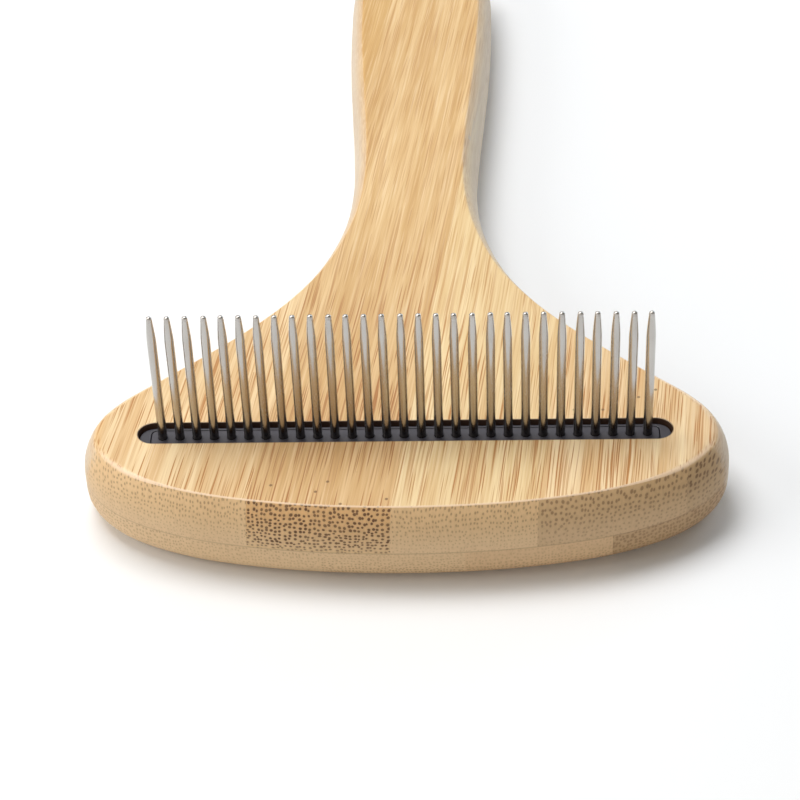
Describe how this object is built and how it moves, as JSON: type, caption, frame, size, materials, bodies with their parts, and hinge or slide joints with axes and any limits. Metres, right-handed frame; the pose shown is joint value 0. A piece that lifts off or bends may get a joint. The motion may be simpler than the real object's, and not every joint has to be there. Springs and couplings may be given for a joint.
{
  "type": "dematting comb",
  "caption": "T-shaped bamboo grooming comb with a straight row of blunt steel pins that turn in a black cassette set into its wide head.",
  "frame": {"origin": "on the flat back face, straight below the middle pin", "axes": "+X along the row of pins to the right, +Y from the row towards the end of the handle, +Z from the back face towards the pins' tips"},
  "size_m": [0.1126, 0.2168, 0.0396],
  "materials": {
    "bamboo_top": "satin",
    "bamboo_bottom": "satin",
    "cassette_black": "satin",
    "pin_steel": "polished"
  },
  "bodies": {
    "handle": {"top_strip_1": "bamboo_top", "top_strip_2": "bamboo_top", "top_strip_3": "bamboo_top", "top_strip_4": "bamboo_top", "top_strip_5": "bamboo_top", "top_strip_6": "bamboo_top", "top_strip_7_handle": "bamboo_top", "bottom_strip_1": "bamboo_bottom", "bottom_strip_2": "bamboo_bottom", "bottom_strip_3": "bamboo_bottom", "bottom_strip_4": "bamboo_bottom", "bottom_strip_5": "bamboo_bottom", "pin_tray": "cassette_black", "pin_holder": "cassette_black"},
    "pin_01_body": {"pin_01": "pin_steel"},
    "pin_02_body": {"pin_02": "pin_steel"},
    "pin_03_body": {"pin_03": "pin_steel"},
    "pin_04_body": {"pin_04": "pin_steel"},
    "pin_05_body": {"pin_05": "pin_steel"},
    "pin_06_body": {"pin_06": "pin_steel"},
    "pin_07_body": {"pin_07": "pin_steel"},
    "pin_08_body": {"pin_08": "pin_steel"},
    "pin_09_body": {"pin_09": "pin_steel"},
    "pin_10_body": {"pin_10": "pin_steel"},
    "pin_11_body": {"pin_11": "pin_steel"},
    "pin_12_body": {"pin_12": "pin_steel"},
    "pin_13_body": {"pin_13": "pin_steel"},
    "pin_14_body": {"pin_14": "pin_steel"},
    "pin_15_body": {"pin_15": "pin_steel"},
    "pin_16_body": {"pin_16": "pin_steel"},
    "pin_17_body": {"pin_17": "pin_steel"},
    "pin_18_body": {"pin_18": "pin_steel"},
    "pin_19_body": {"pin_19": "pin_steel"},
    "pin_20_body": {"pin_20": "pin_steel"},
    "pin_21_body": {"pin_21": "pin_steel"},
    "pin_22_body": {"pin_22": "pin_steel"},
    "pin_23_body": {"pin_23": "pin_steel"},
    "pin_24_body": {"pin_24": "pin_steel"},
    "pin_25_body": {"pin_25": "pin_steel"},
    "pin_26_body": {"pin_26": "pin_steel"},
    "pin_27_body": {"pin_27": "pin_steel"},
    "pin_28_body": {"pin_28": "pin_steel"},
    "pin_29_body": {"pin_29": "pin_steel"}
  },
  "joints": [
    {"name": "pin_01_spin", "type": "hinge", "parent": "handle", "child": "pin_01_body", "pos_m": [-0.042, 0, 0.0106], "axis": [0, 0, 1], "continuous": true},
    {"name": "pin_02_spin", "type": "hinge", "parent": "handle", "child": "pin_02_body", "pos_m": [-0.039, 0, 0.0106], "axis": [0, 0, 1], "continuous": true},
    {"name": "pin_03_spin", "type": "hinge", "parent": "handle", "child": "pin_03_body", "pos_m": [-0.036, 0, 0.0106], "axis": [0, 0, 1], "continuous": true},
    {"name": "pin_04_spin", "type": "hinge", "parent": "handle", "child": "pin_04_body", "pos_m": [-0.033, 0, 0.0106], "axis": [0, 0, 1], "continuous": true},
    {"name": "pin_05_spin", "type": "hinge", "parent": "handle", "child": "pin_05_body", "pos_m": [-0.03, 0, 0.0106], "axis": [0, 0, 1], "continuous": true},
    {"name": "pin_06_spin", "type": "hinge", "parent": "handle", "child": "pin_06_body", "pos_m": [-0.027, 0, 0.0106], "axis": [0, 0, 1], "continuous": true},
    {"name": "pin_07_spin", "type": "hinge", "parent": "handle", "child": "pin_07_body", "pos_m": [-0.024, 0, 0.0106], "axis": [0, 0, 1], "continuous": true},
    {"name": "pin_08_spin", "type": "hinge", "parent": "handle", "child": "pin_08_body", "pos_m": [-0.021, 0, 0.0106], "axis": [0, 0, 1], "continuous": true},
    {"name": "pin_09_spin", "type": "hinge", "parent": "handle", "child": "pin_09_body", "pos_m": [-0.018, 0, 0.0106], "axis": [0, 0, 1], "continuous": true},
    {"name": "pin_10_spin", "type": "hinge", "parent": "handle", "child": "pin_10_body", "pos_m": [-0.015, 0, 0.0106], "axis": [0, 0, 1], "continuous": true},
    {"name": "pin_11_spin", "type": "hinge", "parent": "handle", "child": "pin_11_body", "pos_m": [-0.012, 0, 0.0106], "axis": [0, 0, 1], "continuous": true},
    {"name": "pin_12_spin", "type": "hinge", "parent": "handle", "child": "pin_12_body", "pos_m": [-0.009, 0, 0.0106], "axis": [0, 0, 1], "continuous": true},
    {"name": "pin_13_spin", "type": "hinge", "parent": "handle", "child": "pin_13_body", "pos_m": [-0.006, 0, 0.0106], "axis": [0, 0, 1], "continuous": true},
    {"name": "pin_14_spin", "type": "hinge", "parent": "handle", "child": "pin_14_body", "pos_m": [-0.003, 0, 0.0106], "axis": [0, 0, 1], "continuous": true},
    {"name": "pin_15_spin", "type": "hinge", "parent": "handle", "child": "pin_15_body", "pos_m": [0, 0, 0.0106], "axis": [0, 0, 1], "continuous": true},
    {"name": "pin_16_spin", "type": "hinge", "parent": "handle", "child": "pin_16_body", "pos_m": [0.003, 0, 0.0106], "axis": [0, 0, 1], "continuous": true},
    {"name": "pin_17_spin", "type": "hinge", "parent": "handle", "child": "pin_17_body", "pos_m": [0.006, 0, 0.0106], "axis": [0, 0, 1], "continuous": true},
    {"name": "pin_18_spin", "type": "hinge", "parent": "handle", "child": "pin_18_body", "pos_m": [0.009, 0, 0.0106], "axis": [0, 0, 1], "continuous": true},
    {"name": "pin_19_spin", "type": "hinge", "parent": "handle", "child": "pin_19_body", "pos_m": [0.012, 0, 0.0106], "axis": [0, 0, 1], "continuous": true},
    {"name": "pin_20_spin", "type": "hinge", "parent": "handle", "child": "pin_20_body", "pos_m": [0.015, 0, 0.0106], "axis": [0, 0, 1], "continuous": true},
    {"name": "pin_21_spin", "type": "hinge", "parent": "handle", "child": "pin_21_body", "pos_m": [0.018, 0, 0.0106], "axis": [0, 0, 1], "continuous": true},
    {"name": "pin_22_spin", "type": "hinge", "parent": "handle", "child": "pin_22_body", "pos_m": [0.021, 0, 0.0106], "axis": [0, 0, 1], "continuous": true},
    {"name": "pin_23_spin", "type": "hinge", "parent": "handle", "child": "pin_23_body", "pos_m": [0.024, 0, 0.0106], "axis": [0, 0, 1], "continuous": true},
    {"name": "pin_24_spin", "type": "hinge", "parent": "handle", "child": "pin_24_body", "pos_m": [0.027, 0, 0.0106], "axis": [0, 0, 1], "continuous": true},
    {"name": "pin_25_spin", "type": "hinge", "parent": "handle", "child": "pin_25_body", "pos_m": [0.03, 0, 0.0106], "axis": [0, 0, 1], "continuous": true},
    {"name": "pin_26_spin", "type": "hinge", "parent": "handle", "child": "pin_26_body", "pos_m": [0.033, 0, 0.0106], "axis": [0, 0, 1], "continuous": true},
    {"name": "pin_27_spin", "type": "hinge", "parent": "handle", "child": "pin_27_body", "pos_m": [0.036, 0, 0.0106], "axis": [0, 0, 1], "continuous": true},
    {"name": "pin_28_spin", "type": "hinge", "parent": "handle", "child": "pin_28_body", "pos_m": [0.039, 0, 0.0106], "axis": [0, 0, 1], "continuous": true},
    {"name": "pin_29_spin", "type": "hinge", "parent": "handle", "child": "pin_29_body", "pos_m": [0.042, 0, 0.0106], "axis": [0, 0, 1], "continuous": true}
  ]
}
